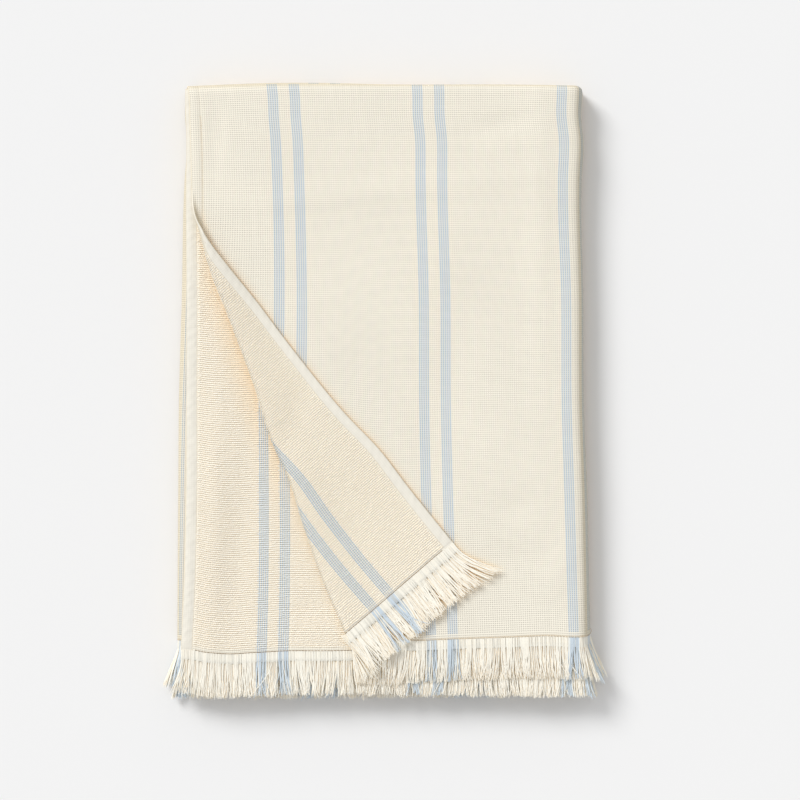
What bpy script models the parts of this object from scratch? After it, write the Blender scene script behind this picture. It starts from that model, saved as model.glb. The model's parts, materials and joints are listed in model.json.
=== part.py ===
"""A striped beach towel with fringed ends, folded in quarters crosswise and in thirds lengthwise.

The towel is one sheet. A point of it is named by its distance from the side hem and from the
first woven end. Those two numbers are folded to a place in the pile by the functions below:
first the turned-back corner, then the crosswise folds, then the lengthwise ones. Z is up, the
fringed ends are at -Y, and the origin is under the middle of the pile, on the surface.
"""

import math
import random

import bmesh
import bpy
from mathutils import Vector

MM = 0.001

# The cloth.
WIDTH = 914 * MM  # 36 inches, from side hem to side hem
CLOTH_THICK = 1.40 * MM
HEM_THICK = 1.55 * MM  # where a side hem or an end is turned under
HEM_WIDE = 8.4 * MM
END_BAND = 8.0 * MM  # the plain band between an end's stitch line and its fringe
THINNING = 2.5 * MM  # past a hem or band, the cloth comes down to its own thickness over this
PITCH = 2.2 * MM  # from one layer of the pile to the next
STACK = 4 * PITCH  # the four layers that the crosswise folds make

# The crosswise folds: four legs, joined by a wide turn, the middle fold and a narrow turn.
LEG = 423.4 * MM  # from the first woven end up to the turn at the top
SECOND_END_BELOW = 15.2 * MM  # how much further the second woven end reaches
MIDDLE_FOLD_BELOW = 1.5 * MM  # where the hidden middle fold lies, below the first end
WIDE_TURN = 1.5 * PITCH
NARROW_TURN = 0.5 * PITCH

# The lengthwise folds: the top panel, a square turn round the tucked panel, the bottom panel,
# a round turn, and the tucked panel.
TOP_PANEL = 291.5 * MM
SQUARE_TURN = 29.0 * MM
BOTTOM_PANEL = 288.1 * MM
ROUND_TURN = 24.2 * MM
TUCKED_PANEL = WIDTH - TOP_PANEL - SQUARE_TURN - BOTTOM_PANEL - ROUND_TURN
TURN_EASE = 0.1 * MM  # how much wider than its stack the square turn is
TURN_OUTER = 3.5 * PITCH + TURN_EASE  # the radius of the square turn's corners, outermost layer
TURN_SIDE = STACK - 2 * TURN_EASE  # the upright part between them
TUCK_SHORT = 9.0 * MM  # the tucked panel stops this far short of the square turn

# The pile's edges at the top fold, measured from its middle line.
HEM_AT = -148.0 * MM
SECOND_HEM_AT = -151.0 * MM
LEFT_TURN_AT = -144.5 * MM
RIGHT_TURN_AT = 143.6 * MM

# How those edges wander towards the fringed ends, in millimetres to the right.
EDGES = (
    # up from the first end, top layer's hem, lower hems, left turn, right turn, lower bulge
    (-60.0, 9.6, -4.4, -6.6, 6.1, 3.4),
    (0.0, 9.0, -4.0, -6.4, 5.7, 3.4),
    (110.0, 5.9, -1.8, -4.6, 3.6, 2.7),
    (185.0, 4.7, -0.9, -3.6, 1.1, 2.2),
    (262.0, 3.8, 0.2, -1.9, 0.5, 1.6),
    (355.0, 1.6, 0.2, -0.8, -0.6, 1.1),
    (385.0, 0.9, 0.4, 0.9, 0.7, 1.2),
    (405.0, 0.3, 0.0, -0.7, -1.1, 0.9),
    (423.4, 0.0, 0.0, 0.0, 0.0, 0.8),
)

# How far each woven end stands above its straight line, and how long its fringe's locks are
# there beyond their strip, in millimetres. Up to the bottom panel the rows stand on the columns
# of the cloth's grid, so that the fringe's strip follows the same line as the cloth.
ENDS = (
    # from the side hem, first end, second end, first locks, second locks
    (0.0, 3.9, 2.4, 25.0, 22.5),
    (10.9, 3.4, 1.6, 25.0, 22.5),
    (51.0, 1.8, -0.5, 25.0, 22.5),
    (91.1, 0.2, 0.8, 25.0, 22.5),
    (131.2, -2.8, 1.8, 24.0, 22.5),
    (171.3, -4.9, 1.4, 21.0, 22.5),
    (211.3, -3.6, 0.9, 20.5, 22.5),
    (251.4, -2.2, 0.5, 21.0, 22.5),
    (291.5, -2.5, 0.2, 22.5, 22.5),
    (302.2, -1.0, 0.4, 23.0, 22.5),
    (309.8, 2.9, 0.4, 23.0, 22.5),
    (320.5, 2.7, 0.3, 23.0, 22.5),
    (610.0, -5.6, -1.5, 24.0, 22.5),
    (914.0, -3.0, 0.0, 25.0, 22.5),
)

# How far the top fold bows out, in millimetres.
TOP_FOLD = (
    # across, out
    (-150.0, -1.6),
    (-75.0, 0.9),
    (10.0, 0.3),
    (95.0, -0.7),
    (150.0, -1.9),
)

# The corner that is turned back: its crease runs from the side hem to the first end.
CREASE_UP = 338.6 * MM  # where the crease leaves the side hem, up from the first end
CREASE_IN = 114.0 * MM  # where it meets the first end, in from the side hem
CREASE_TIGHT = 1.15 * MM  # the crease's radius at the side hem
CREASE_LOOSE = 2.30 * MM  # and at the first end
CORNER_RISE = PITCH + 0.3 * MM  # how high the corner lies over the layer it came from
CORNER_SETTLES = 34 * MM  # how far from the crease it has come down to that height
CREASE_STEPS = 5

# The fringe.
ROOT_GAP = 0.3 * MM
ROOT_WIDE = 2.7 * MM
FRINGE_THICK = 1.2 * MM
LOCKS = 124  # at each end
LOCK_SHARE = 0.70  # of its pitch that a lock's root takes
TIP_SHARE = 0.42  # of its root's width that a lock's tip has
TIP_THINS = 0.35  # the share of its thickness that it has lost there
OUTER_SPLAY = 0.30  # how far a lock of the first end leans out where it goes round a side fold
INNER_SPLAY = 0.16  # and a lock of the second end, inside it
FRINGE_SINKS = 0.26  # the share of its height that the pile has lost at the fringe's tips
SINKS_OVER = 40 * MM

# Soft swells in the pile's upper layers, and how its edges wander from layer to layer.
SWELL = 0.55 * MM
SWELL_ACROSS = 190 * MM
SWELL_ALONG = 240 * MM
WANDER = 0.9 * MM
WANDER_DEEP = 70 * MM  # how far in from the edges the layers still wander

FLOOR = NARROW_TURN - CLOTH_THICK / 2  # the lowest layer's face, before the pile is set down

COLOURS = {
    # name: colour and roughness
    "cloth": ((0.83, 0.77, 0.64), 0.9),
    "fringe_one": ((0.88, 0.83, 0.72), 0.85),
    "fringe_two": ((0.85, 0.79, 0.66), 0.85),
}


def ease(t):
    """0 to 1 with a soft start and finish."""
    t = min(max(t, 0.0), 1.0)
    return t * t * (3 - 2 * t)


def look_up(table, at, column):
    """A table's value in metres at a place, straight from row to row; its numbers are in mm."""
    at = at / MM
    if at <= table[0][0]:
        return table[0][column] * MM
    for low, high in zip(table, table[1:]):
        if at <= high[0]:
            share = (at - low[0]) / (high[0] - low[0])
            return (low[column] + (high[column] - low[column]) * share) * MM
    return table[-1][column] * MM


def woven_length():
    """From the first woven end to the second, along the sheet."""
    legs = 4 * LEG + 2 * MIDDLE_FOLD_BELOW + SECOND_END_BELOW
    return legs + math.pi * (WIDE_TURN + 2 * NARROW_TURN)


def turned_back(u, v, out):
    """The corner beyond the crease, rolled over it and laid down face to face with its own layer.

    u is the distance from the side hem, v from the first end, and out how far the point stands
    off the middle of the cloth on its face side. The result adds the height over that layer.
    """
    long = math.hypot(CREASE_IN, CREASE_UP)
    along_u, along_v = CREASE_IN / long, -CREASE_UP / long
    from_hem_u, from_hem_v = u, v - CREASE_UP
    along = from_hem_u * along_u + from_hem_v * along_v
    beyond = from_hem_u * along_v - from_hem_v * along_u
    radius = CREASE_TIGHT + (CREASE_LOOSE - CREASE_TIGHT) * max(along, 0.0) / long
    cloth = beyond + radius
    if cloth <= 0 or v > CREASE_UP:
        return u, v, out
    if cloth < math.pi * radius:
        turn = cloth / radius
        beyond = -radius + (radius - out) * math.sin(turn)
        rise = radius - (radius - out) * math.cos(turn)
    else:
        flat = cloth - math.pi * radius
        beyond = -radius - flat
        loft = 2 * radius + (CORNER_RISE - 2 * radius) * ease(flat / CORNER_SETTLES)
        rise = loft - out
    return (
        along * along_u + beyond * along_v,
        CREASE_UP + along * along_v - beyond * along_u,
        rise,
    )


def crosswise(u, v, out):
    """Where the crosswise folds put a point: from the side hem, up the pile's length from the
    first end, and up through the stack of four. The last value is 1 on the top leg."""
    if v < LEG:
        v += look_up(ENDS, u, 1) * (1 - ease(v / LEG))
        u, v, rise = turned_back(u, v, out)
        return u, v, 3.5 * PITCH + rise, 1
    v -= LEG
    if v < math.pi * WIDE_TURN:
        turn = v / WIDE_TURN
        radius = WIDE_TURN + out
        return u, LEG + radius * math.sin(turn), 2 * PITCH + radius * math.cos(turn), 0
    v -= math.pi * WIDE_TURN
    if v < LEG + MIDDLE_FOLD_BELOW:
        return u, LEG - v, 0.5 * PITCH - out, 0
    v -= LEG + MIDDLE_FOLD_BELOW
    if v < math.pi * NARROW_TURN:
        turn = v / NARROW_TURN
        radius = NARROW_TURN + out
        return u, -MIDDLE_FOLD_BELOW - radius * math.sin(turn), PITCH - radius * math.cos(turn), 0
    v -= math.pi * NARROW_TURN
    if v < LEG + MIDDLE_FOLD_BELOW:
        return u, v - MIDDLE_FOLD_BELOW, 1.5 * PITCH + out, 0
    v -= LEG + MIDDLE_FOLD_BELOW
    if v < math.pi * NARROW_TURN:
        turn = v / NARROW_TURN
        radius = NARROW_TURN - out
        return u, LEG + radius * math.sin(turn), 2 * PITCH - radius * math.cos(turn), 0
    v -= math.pi * NARROW_TURN
    shift = look_up(ENDS, u, 2) * ease(v / LEG)
    return u, LEG - v + shift, 2.5 * PITCH - out, 0


def lengthwise(u, y, high, top_leg):
    """Where the lengthwise folds put a point of the stack: across, along and up."""
    hem = HEM_AT + look_up(EDGES, y, 1) if top_leg else SECOND_HEM_AT + look_up(EDGES, y, 2)
    left = LEFT_TURN_AT + look_up(EDGES, y, 3)
    right = RIGHT_TURN_AT + look_up(EDGES, y, 4)
    if u < TOP_PANEL:
        return hem + (right - hem) * u / TOP_PANEL, y, 2 * STACK + high
    u -= TOP_PANEL
    if u < SQUARE_TURN:
        radius = high + TURN_EASE
        quarter = math.pi / 2 * TURN_OUTER
        path = u / SQUARE_TURN * (2 * quarter + TURN_SIDE)
        if path < quarter:
            turn = path / TURN_OUTER
            level = 2 * STACK - TURN_EASE
        elif path < quarter + TURN_SIDE:
            turn = math.pi / 2
            level = 2 * STACK - TURN_EASE - (path - quarter)
        else:
            turn = (path - TURN_SIDE) / TURN_OUTER
            level = STACK + TURN_EASE
        return right + radius * math.sin(turn), y, level + radius * math.cos(turn)
    u -= SQUARE_TURN
    if u < BOTTOM_PANEL:
        return right + (left - right) * u / BOTTOM_PANEL, y, STACK - high
    u -= BOTTOM_PANEL
    if u < ROUND_TURN:
        turn = math.pi * u / ROUND_TURN
        return left - high * math.sin(turn), y, STACK - high * math.cos(turn)
    u -= ROUND_TURN
    reach = right - TUCK_SHORT - left
    return left + reach * u / TUCKED_PANEL, y, STACK + high


def laid(u, v, out):
    """A point of the sheet in the folded pile, before the pile settles."""
    return Vector(lengthwise(*crosswise(u, v, out)))


def settled(point):
    """The pile's own unevenness: the lower bulge of the right fold, the bowed top fold, edges
    that wander from layer to layer, soft swells in the upper layers, and the fringe sinking
    towards the surface."""
    x, y, z = point.x, point.y, point.z - FLOOR
    height = min(max(z / (3 * STACK), 0.0), 1.0)
    side = ease((x - RIGHT_TURN_AT + WANDER_DEEP) / WANDER_DEEP)
    top = ease((y - LEG + WANDER_DEEP) / WANDER_DEEP)
    left = ease((LEFT_TURN_AT + WANDER_DEEP - x) / WANDER_DEEP)
    x += look_up(EDGES, y, 5) * side * math.sin(math.tau * height) / 2
    x += WANDER * left * math.sin(math.tau * height + y / WANDER_DEEP)
    y += top * (look_up(TOP_FOLD, x, 1) + WANDER * math.sin(math.tau * height + x / WANDER_DEEP))
    raised = ease((z - STACK) / (2 * STACK))
    wave = math.sin(math.tau * x / SWELL_ACROSS + 0.8) * math.sin(math.tau * y / SWELL_ALONG + 0.4)
    z += SWELL * raised * wave
    z *= 1 - FRINGE_SINKS * ease(-y / SINKS_OVER)
    return Vector((x, y, max(z, 0.0)))


def marks(*stretches):
    """Places along the sheet: each stretch is a length and the number of equal steps in it."""
    places = [0.0]
    for length, steps in stretches:
        start = places[-1]
        places += [start + length * k / steps for k in range(1, steps + 1)]
    return places


def cloth_grid():
    """The sheet laid flat as a grid, closer where it folds."""
    side_hem = HEM_WIDE + THINNING
    end_hem = END_BAND + THINNING
    corner = SQUARE_TURN * math.pi / 2 * TURN_OUTER / (math.pi * TURN_OUTER + TURN_SIDE)
    across = marks(
        (HEM_WIDE, 1),
        (THINNING, 1),
        (TOP_PANEL - side_hem, 7),
        (corner, 4),
        (SQUARE_TURN - 2 * corner, 1),
        (corner, 4),
        (BOTTOM_PANEL, 5),
        (ROUND_TURN, 6),
        (TUCKED_PANEL - side_hem, 4),
        (THINNING, 1),
        (HEM_WIDE, 1),
    )
    upward = marks(
        (END_BAND, 1),
        (THINNING, 1),
        (LEG - end_hem, 7),
        (math.pi * WIDE_TURN, 6),
        (LEG + MIDDLE_FOLD_BELOW, 7),
        (math.pi * NARROW_TURN, 4),
        (LEG + MIDDLE_FOLD_BELOW, 7),
        (math.pi * NARROW_TURN, 4),
        (LEG + SECOND_END_BELOW - end_hem, 7),
        (THINNING, 1),
        (END_BAND, 1),
    )
    sheet = bmesh.new()
    bmesh.ops.create_grid(sheet, x_segments=len(across) - 1, y_segments=len(upward) - 1, size=0.5)
    for vert in sheet.verts:
        column = round((vert.co.x + 0.5) * (len(across) - 1))
        row = round((vert.co.y + 0.5) * (len(upward) - 1))
        vert.co = Vector((across[column], upward[row], 0))
    return sheet, upward[-1]


def on_top_leg(flat):
    return flat.x < TOP_PANEL + MM and flat.y < LEG + MM


def cut_for_crease(sheet):
    """Cuts the flat sheet's first corner along the lines where the crease bends it."""
    hem_end = Vector((0, CREASE_UP, 0))
    band_end = Vector((CREASE_IN, 0, 0))
    along = (band_end - hem_end).normalized()
    outward = Vector((along.y, -along.x, 0))
    bends = [(math.pi * k / CREASE_STEPS - 1, 0.0) for k in range(CREASE_STEPS + 1)]
    rests = [(math.pi - 1, share * CORNER_SETTLES) for share in (0.25, 0.6, 1.0)]
    for radii, further in bends + rests:
        a = hem_end + outward * (radii * CREASE_TIGHT + further)
        b = band_end + outward * (radii * CREASE_LOOSE + further)
        normal = Vector((b.y - a.y, a.x - b.x, 0)).normalized()
        corner = [f for f in sheet.faces if all(on_top_leg(vert.co) for vert in f.verts)]
        edges = {edge for face in corner for edge in face.edges}
        verts = {vert for face in corner for vert in face.verts}
        parts = corner + list(edges) + list(verts)
        bmesh.ops.bisect_plane(sheet, geom=parts, dist=1e-6, plane_co=a, plane_no=normal)


def material(name):
    colour, rough = COLOURS[name]
    made = bpy.data.materials.new(name)
    made.use_nodes = True
    shader = made.node_tree.nodes["Principled BSDF"]
    shader.inputs["Base Color"].default_value = (*colour, 1.0)
    shader.inputs["Roughness"].default_value = rough
    shader.inputs["Metallic"].default_value = 0.0
    made.diffuse_color = (*colour, 1.0)
    return made


def finish(sheet, name, collection, thickness, shares):
    """Turns a folded sheet into an object with its thickness on the side away from its face.

    shares gives, for each point, how much of the thickness it takes."""
    mesh = bpy.data.meshes.new(name)
    sheet.to_mesh(mesh)
    sheet.free()
    made = bpy.data.objects.new(name, mesh)
    collection.objects.link(made)
    mesh.materials.append(material(name))
    group = made.vertex_groups.new(name="thickness")
    for index, share in enumerate(shares):
        group.add([index], share, "REPLACE")
    shell = made.modifiers.new("Thickness", "SOLIDIFY")
    shell.thickness = thickness
    shell.offset = -1
    shell.use_rim = True
    shell.vertex_group = "thickness"
    return made


def make_cloth(collection):
    sheet, length = cloth_grid()
    cut_for_crease(sheet)
    bmesh.ops.recalc_face_normals(sheet, faces=sheet.faces)
    if sum(f.normal.z for f in sheet.faces) < 0:
        bmesh.ops.reverse_faces(sheet, faces=sheet.faces)
    shares = []
    for vert in sheet.verts:
        u, v = vert.co.x, vert.co.y
        turned = min(u, WIDTH - u) < HEM_WIDE + MM or min(v, length - v) < END_BAND + MM
        shares.append(1.0 if turned else CLOTH_THICK / HEM_THICK)
        vert.co = settled(laid(u, v, CLOTH_THICK / 2))
    sheet.verts.index_update()
    return finish(sheet, "cloth", collection, HEM_THICK, shares)


def strand_frame(u, v, side, splay):
    """The root of a strand, the way it runs, level, and the way along the row of roots."""
    face = CLOTH_THICK / 2
    step = 0.5 * MM
    root = laid(u, v, face)
    run = root - laid(u, v - side * step, face)
    run.z = 0
    run.normalize()
    row = (laid(u + step, v, face) - laid(u - step, v, face)).normalized()
    lean = Vector((0, -1, 0)).cross(row).x
    return root, run + Vector((lean * splay, 0, 0)), row


def make_fringe(name, collection, end, side, lengths, splay, seed):
    """A narrow strip along a woven end, with a row of tapered locks standing on it.

    end is the woven end's place along the sheet, and side is -1 or 1: the way off the end.
    lengths is the column of ENDS that holds its locks' lengths."""
    draw = random.Random(seed)
    pitch = WIDTH / LOCKS
    lock = pitch * LOCK_SHARE
    places = marks(*[(pitch - lock if k % 2 == 0 else lock, 1) for k in range(2 * LOCKS)])
    near, far = end + side * ROOT_GAP, end + side * (ROOT_GAP + ROOT_WIDE)
    strip = bmesh.new()
    bmesh.ops.create_grid(strip, x_segments=2 * LOCKS, y_segments=1, size=0.5)
    for vert in strip.verts:
        column = round((vert.co.x + 0.5) * 2 * LOCKS)
        on_far = (vert.co.y > 0) == (side > 0)
        vert.co = Vector((places[column], far if on_far else near, 0))
    cut_for_crease(strip)
    roots = [e for e in strip.edges if all(abs(v.co.y - far) < 1e-6 for v in e.verts)]
    roots = [e for e in roots if e.calc_length() > 0.98 * lock]
    roots.sort(key=lambda e: e.verts[0].co.x + e.verts[1].co.x)
    joined = {v: None for v in strip.verts}
    for k, root in enumerate(roots):
        centre = (root.verts[0].co.x + root.verts[1].co.x) / 2
        uneven = 0.09 * math.sin(1.9 * k) * math.sin(0.43 * k) + 0.06 * draw.random()
        long = look_up(ENDS, centre, lengths) * (0.95 + uneven)
        sway = 0.9 * MM * math.sin(0.61 * k + 1.3 * side) + 0.8 * MM * math.sin(0.23 * k)
        edge = root
        for share, wide in ((0.5, (1 + TIP_SHARE) / 2), (1.0, TIP_SHARE)):
            grown = bmesh.ops.extrude_edge_only(strip, edges=[edge])["geom"]
            for vert in (g for g in grown if isinstance(g, bmesh.types.BMVert)):
                offset = math.copysign(lock / 2 * wide, vert.co.x - centre)
                vert.co = Vector((centre + offset, far + side * long * share, 0))
                joined[vert] = (centre, offset + sway * share**1.5, long * share)
            edge = next(g for g in grown if isinstance(g, bmesh.types.BMEdge))
    bmesh.ops.recalc_face_normals(strip, faces=strip.faces)
    if sum(f.normal.z for f in strip.faces) < 0:
        bmesh.ops.reverse_faces(strip, faces=strip.faces)
    shares = []
    for vert in strip.verts:
        grown = joined[vert]
        if grown is None:
            vert.co = settled(laid(vert.co.x, vert.co.y, CLOTH_THICK / 2))
            shares.append(1.0)
            continue
        centre, across, along = grown
        root, run, row = strand_frame(centre, far, side, splay)
        vert.co = settled(root + run * along + row * across)
        shares.append(1.0 - TIP_THINS * along / look_up(ENDS, centre, lengths))
    strip.verts.index_update()
    return finish(strip, name, collection, FRINGE_THICK, shares)


def set_on_origin(parts):
    """Moves the pile so that the middle of its footprint stands on the origin."""
    across = [vert.co.x for part in parts for vert in part.data.vertices]
    along = [vert.co.y for part in parts for vert in part.data.vertices]
    middle = Vector((min(across) + max(across), min(along) + max(along), 0)) / 2
    for part in parts:
        for vert in part.data.vertices:
            vert.co -= middle


def main():
    for old in list(bpy.data.objects):
        bpy.data.objects.remove(old, do_unlink=True)
    collection = bpy.data.collections.new("beach_towel")
    bpy.context.scene.collection.children.link(collection)
    parts = [
        make_cloth(collection),
        make_fringe("fringe_one", collection, 0.0, -1, 3, OUTER_SPLAY, 11),
        make_fringe("fringe_two", collection, woven_length(), 1, 4, INNER_SPLAY, 12),
    ]
    set_on_origin(parts)


main()
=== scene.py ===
"""The looks of a striped beach towel with fringed ends, folded flat with one corner turned back.

The towel is one sheet. A point of it is named by its distance from the side hem (u) and from the
first woven end (v), and the functions below fold it to its place in the pile. Stripes, weave,
loops, stitches and fringe all follow the sheet through those two numbers.
"""

import json
import math

import bmesh
import bpy
import numpy as np
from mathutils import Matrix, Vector

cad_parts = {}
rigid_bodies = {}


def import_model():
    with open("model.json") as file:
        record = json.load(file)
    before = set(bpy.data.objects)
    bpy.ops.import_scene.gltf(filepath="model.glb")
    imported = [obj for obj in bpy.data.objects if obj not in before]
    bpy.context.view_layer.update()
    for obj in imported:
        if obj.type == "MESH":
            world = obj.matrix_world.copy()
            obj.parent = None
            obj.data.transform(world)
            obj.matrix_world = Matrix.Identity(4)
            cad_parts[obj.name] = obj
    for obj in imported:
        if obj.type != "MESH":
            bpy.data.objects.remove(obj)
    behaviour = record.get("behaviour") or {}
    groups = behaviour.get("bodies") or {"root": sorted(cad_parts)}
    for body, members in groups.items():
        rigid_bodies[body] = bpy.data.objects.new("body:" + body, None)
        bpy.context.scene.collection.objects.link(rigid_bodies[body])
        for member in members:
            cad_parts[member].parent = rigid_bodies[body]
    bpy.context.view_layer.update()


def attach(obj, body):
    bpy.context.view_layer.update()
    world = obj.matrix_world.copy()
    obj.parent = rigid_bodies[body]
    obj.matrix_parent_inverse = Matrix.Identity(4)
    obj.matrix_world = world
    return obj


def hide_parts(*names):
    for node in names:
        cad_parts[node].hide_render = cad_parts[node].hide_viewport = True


for old in list(bpy.data.objects):
    bpy.data.objects.remove(old, do_unlink=True)
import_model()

MM = 0.001

# The cloth. Its hems and bands are thicker, with a groove where they are stitched.
WIDTH = 914 * MM
CLOTH_THICK = 1.40 * MM
HEM_THICK = 1.55 * MM
HEM_WIDE = 8.0 * MM
END_BAND = 8.0 * MM
THINNING = 2.5 * MM
EDGE_ROUND = 0.7 * MM
GROOVE_DEEP = 0.28 * MM
GROOVE_WIDE = 0.5 * MM
PITCH = 2.2 * MM
STACK = 4 * PITCH

# The crosswise folds.
LEG = 423.4 * MM
SECOND_END_BELOW = 15.2 * MM
MIDDLE_FOLD_BELOW = 1.5 * MM
WIDE_TURN = 1.5 * PITCH
NARROW_TURN = 0.5 * PITCH

# The lengthwise folds.
TOP_PANEL = 291.5 * MM
SQUARE_TURN = 29.0 * MM
BOTTOM_PANEL = 288.1 * MM
ROUND_TURN = 24.2 * MM
TUCKED_PANEL = WIDTH - TOP_PANEL - SQUARE_TURN - BOTTOM_PANEL - ROUND_TURN
TURN_EASE = 0.1 * MM
TURN_OUTER = 3.5 * PITCH + TURN_EASE
TURN_SIDE = STACK - 2 * TURN_EASE
TUCK_SHORT = 9.0 * MM

# The pile's edges at the top fold, from the middle line that the folds are measured from.
HEM_AT = -148.0 * MM
SECOND_HEM_AT = -151.0 * MM
LEFT_TURN_AT = -144.5 * MM
RIGHT_TURN_AT = 143.6 * MM
MIDDLE = np.array((0.11, 192.53)) * MM  # what becomes the origin, under the pile's middle

# How those edges wander towards the fringed ends, in millimetres to the right.
EDGES = (
    # up from the first end, top layer's hem, lower hems, left turn, right turn, side's bulge
    (-60.0, 9.6, -4.4, -6.6, 6.1, 3.4),
    (0.0, 9.0, -3.2, -6.4, 5.7, 3.4),
    (33.0, 8.1, -1.9, -5.9, 5.1, 3.2),
    (110.0, 5.9, -0.9, -4.6, 3.6, 2.7),
    (185.0, 5.2, -0.9, -3.6, 1.1, 2.2),
    (262.0, 4.8, 0.0, -1.9, 0.5, 1.6),
    (355.0, 3.6, 0.6, -0.8, -0.6, 1.1),
    (385.0, 1.9, 1.0, 0.9, 0.7, 1.2),
    (405.0, 0.6, 0.3, -0.7, -1.1, 0.9),
    (423.4, 0.0, 0.0, 0.0, 0.0, 0.8),
)

# How far the top layer has slid over the right fold, in millimetres.
SLID = (
    # up from the first end, to the right
    (-60.0, 3.6),
    (0.0, 4.2),
    (60.0, 3.4),
    (110.0, 2.9),
    (190.0, 3.1),
    (262.0, 3.3),
    (355.0, 1.8),
    (423.4, 0.8),
)
SLIDES_OVER = 70 * MM
SLIDES_BY_CREASE = 55 * MM
HEM_CHANGES = 12 * MM  # how far before and past the first turn one hem line becomes the next

# How far each woven end stands above its straight line, and how long its fringe is there.
ENDS = (
    # from the side hem, first end, second end, first fringe, second fringe
    (0.0, 3.9, 3.0, 33.0, 26.5),
    (10.0, 3.5, 2.4, 31.0, 26.0),
    (17.0, 3.3, 0.9, 29.5, 25.5),
    (26.0, 2.9, 0.0, 28.5, 25.5),
    (38.0, 2.4, -0.6, 28.0, 25.5),
    (52.0, 1.8, 0.2, 28.0, 25.5),
    (66.0, 1.2, 0.9, 28.0, 25.5),
    (80.0, 0.6, 1.7, 28.0, 25.5),
    (111.0, -0.8, 1.8, 28.0, 25.5),
    (131.0, -3.8, 2.2, 27.0, 25.5),
    (157.0, -5.3, 1.8, 24.5, 25.5),
    (191.0, -4.2, 1.4, 23.5, 25.5),
    (238.0, -2.7, 0.6, 23.5, 25.5),
    (262.0, -1.9, 0.4, 24.0, 25.5),
    (291.5, -2.5, 0.2, 25.0, 25.5),
    (302.2, -1.0, 0.4, 26.0, 25.5),
    (309.8, 2.9, 0.4, 26.0, 25.5),
    (320.5, 2.7, 0.3, 26.0, 25.5),
    (610.0, -5.6, -1.5, 27.0, 25.5),
    (914.0, -3.0, 0.0, 28.0, 25.5),
)

# How far the top fold bows out, in millimetres.
TOP_FOLD = (
    # across, out
    (-150.0, -1.6),
    (-75.0, 0.9),
    (10.0, 0.3),
    (95.0, -0.7),
    (150.0, -1.9),
)

# The corner that is turned back: its crease's radius and wander to the left, and how far the
# corner's hem has been drawn towards the crease and back along it.
CREASE_UP = 338.6 * MM
CREASE_IN = 114.0 * MM
CREASE_LONG = math.hypot(CREASE_IN, CREASE_UP)
ALONG_U, ALONG_V = CREASE_IN / CREASE_LONG, -CREASE_UP / CREASE_LONG
CREASE = (
    # along the crease from the side hem, radius, wander, drawn in, drawn back
    (-20.0, 4.0, 2.0, 0.0, 0.0),
    (0.0, 4.0, 2.0, 0.0, 0.0),
    (17.0, 3.8, 2.2, -0.6, 0.0),
    (29.0, 3.6, 2.5, 1.2, 0.0),
    (58.0, 3.2, 3.2, 1.2, 0.0),
    (90.0, 2.6, 2.4, 2.9, 0.0),
    (118.0, 2.3, 1.9, 4.6, 0.0),
    (146.0, 2.1, 1.5, 5.2, 0.0),
    (195.0, 1.9, 1.9, 2.8, 0.2),
    (225.0, 1.9, 0.3, 1.0, 0.5),
    (262.0, 2.1, 1.2, 0.3, 1.0),
    (300.0, 2.2, 1.4, -0.6, 0.6),
    (345.0, 2.3, 0.0, -1.0, 0.0),
)
WANDER_FADES = 75 * MM  # how far from the crease its wander has halved on the corner
CREASE_CUTS = 8
CORNER_RISE = PITCH + 0.3 * MM
CORNER_SETTLES = 34 * MM

# The share of its height that the fringe loses, and how far from the end it has lost it.
FRINGE_SINKS = 0.08
SINKS_OVER = 40 * MM

# Soft swells in the pile's upper layers, and how its edges wander from layer to layer.
SWELL = 0.55 * MM
SWELL_ACROSS = 190 * MM
SWELL_ALONG = 240 * MM
WANDER = 0.9 * MM
WANDER_DEEP = 70 * MM
FLOOR = NARROW_TURN - CLOTH_THICK / 2

# The buckle in the second layer, which draws its first stripes nearer to its hem.
SQUEEZE = 5.6 * MM
SQUEEZE_FROM, SQUEEZE_TO, SQUEEZE_ENDS = 10 * MM, 85 * MM, 230 * MM
SQUEEZE_ALONG = 0.3 * LEG

# Soft troughs (below zero) and ridges in the top layers.
TOP_FORMS = (
    # across, along, turned in degrees, half length, half width, height; lengths in mm
    (-8.0, 152.0, 5.5, 130.0, 9.0, 0.7),
    (87.0, 203.0, 10.0, 22.0, 8.0, -0.9),
    (119.0, 120.0, 90.0, 130.0, 9.0, 0.8),
    (101.0, -88.0, 20.0, 16.0, 9.0, -0.7),
    (105.0, -126.0, -15.0, 20.0, 9.0, -0.6),
    (134.0, -136.0, 70.0, 22.0, 10.0, 0.7),
    (-129.0, 190.0, 88.0, 34.0, 6.0, -0.9),
    (-40.0, 60.0, -40.0, 60.0, 20.0, 0.5),
    (40.0, -20.0, 75.0, 90.0, 18.0, -0.5),
    (60.0, 90.0, -20.0, 50.0, 16.0, 0.5),
    (-72.0, -30.0, 70.0, 45.0, 12.0, -0.8),
)

# The same in the second layer alone, where it shows.
SECOND_FORMS = (
    # across, along, turned, half length, half width, height
    (-129.0, -90.0, 88.0, 110.0, 9.0, 1.1),
    (-108.0, -105.0, 85.0, 95.0, 11.0, -1.3),
    (-50.0, -162.0, 30.0, 16.0, 9.0, -0.7),
)

# The weave: how often it repeats, and the pairs of stripes.
WARP_REPEAT = 110.18 / 66 * MM
WEFT_REPEAT = 1.61 * MM
PAIR_REPEAT = 110.18 * MM
FIRST_STRIPE = 62.9 * MM
STRIPES = FIRST_STRIPE, FIRST_STRIPE + 10 * WARP_REPEAT
STRIPE_LINES = 5

# The two thick weft yarns past the end band's stitches.
CORDS_PAST = 1.3 * MM, 3.0 * MM
CORD_HALF_WIDE = 0.9 * MM

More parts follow.
